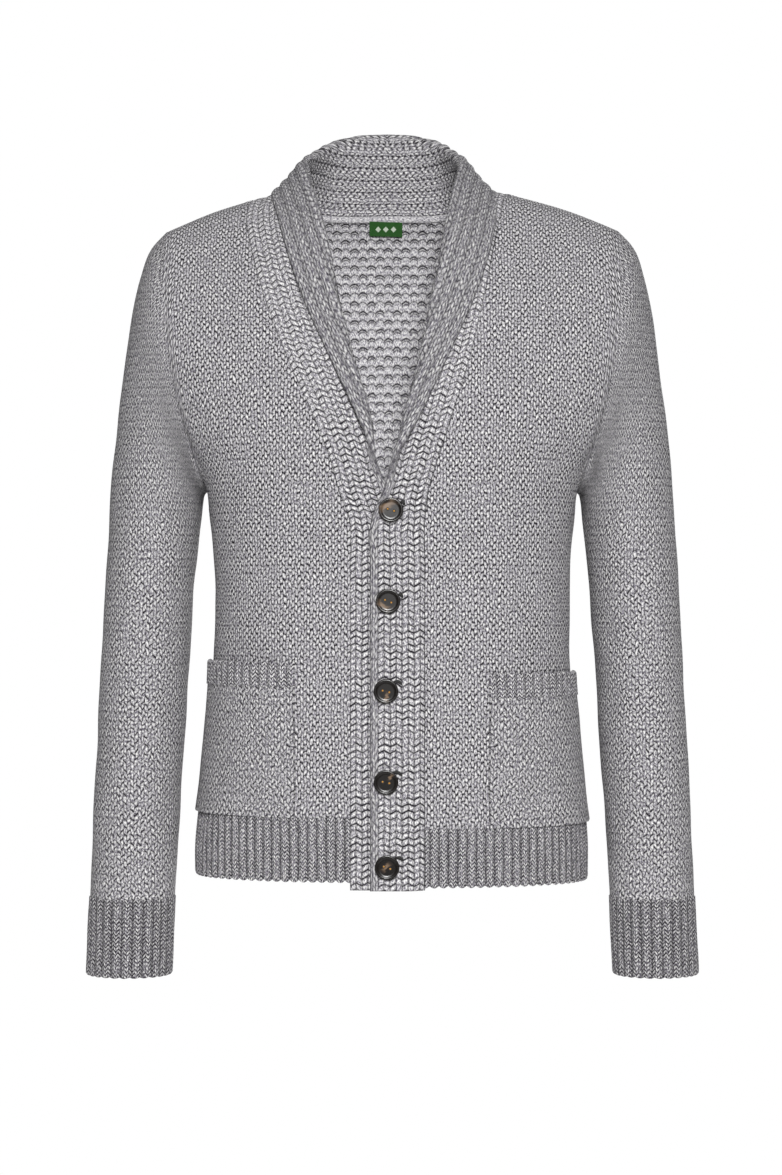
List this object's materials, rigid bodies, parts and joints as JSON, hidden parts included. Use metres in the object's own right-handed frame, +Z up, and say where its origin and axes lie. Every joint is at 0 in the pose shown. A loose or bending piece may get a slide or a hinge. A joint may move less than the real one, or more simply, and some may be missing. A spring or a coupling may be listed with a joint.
{
  "type": "shawl collar cardigan",
  "caption": "Long-sleeved knitted cardigan with a rolled shawl collar, button front, patch pockets and ribbed hem and cuffs, in its worn shape.",
  "frame": {"origin": "midway between the shoulders of the one who wears it, level with the neck seam at the centre back", "axes": "+Z up the height, +X towards the wearer's left, -Y to the wearer's front"},
  "size_m": [0.577, 0.2585, 0.8089],
  "materials": {
    "body_knit": "chunky textured knit in light grey marled wool",
    "rib_knit": "ribbed knit in light grey marled wool",
    "band_knit": "close ribbed knit in light grey marled wool",
    "horn": "dark brown horn with a paler streak, polished",
    "label_weave": "green damask-woven label with a pale plain motif"
  },
  "bodies": {
    "root": {"back": "body_knit", "front_left": "body_knit", "front_right": "body_knit", "hem_back": "rib_knit", "hem_front_left": "rib_knit", "hem_front_right": "rib_knit", "sleeve_left": "body_knit", "sleeve_right": "body_knit", "cuff_left": "rib_knit", "cuff_right": "rib_knit", "band_collar_left": "band_knit", "band_collar_right": "band_knit", "pocket_left": "body_knit", "pocket_right": "body_knit", "pocket_rib_left": "rib_knit", "pocket_rib_right": "rib_knit", "button_1": "horn", "button_2": "horn", "button_3": "horn", "button_4": "horn", "button_5": "horn", "label": "label_weave"}
  },
  "joints": []
}
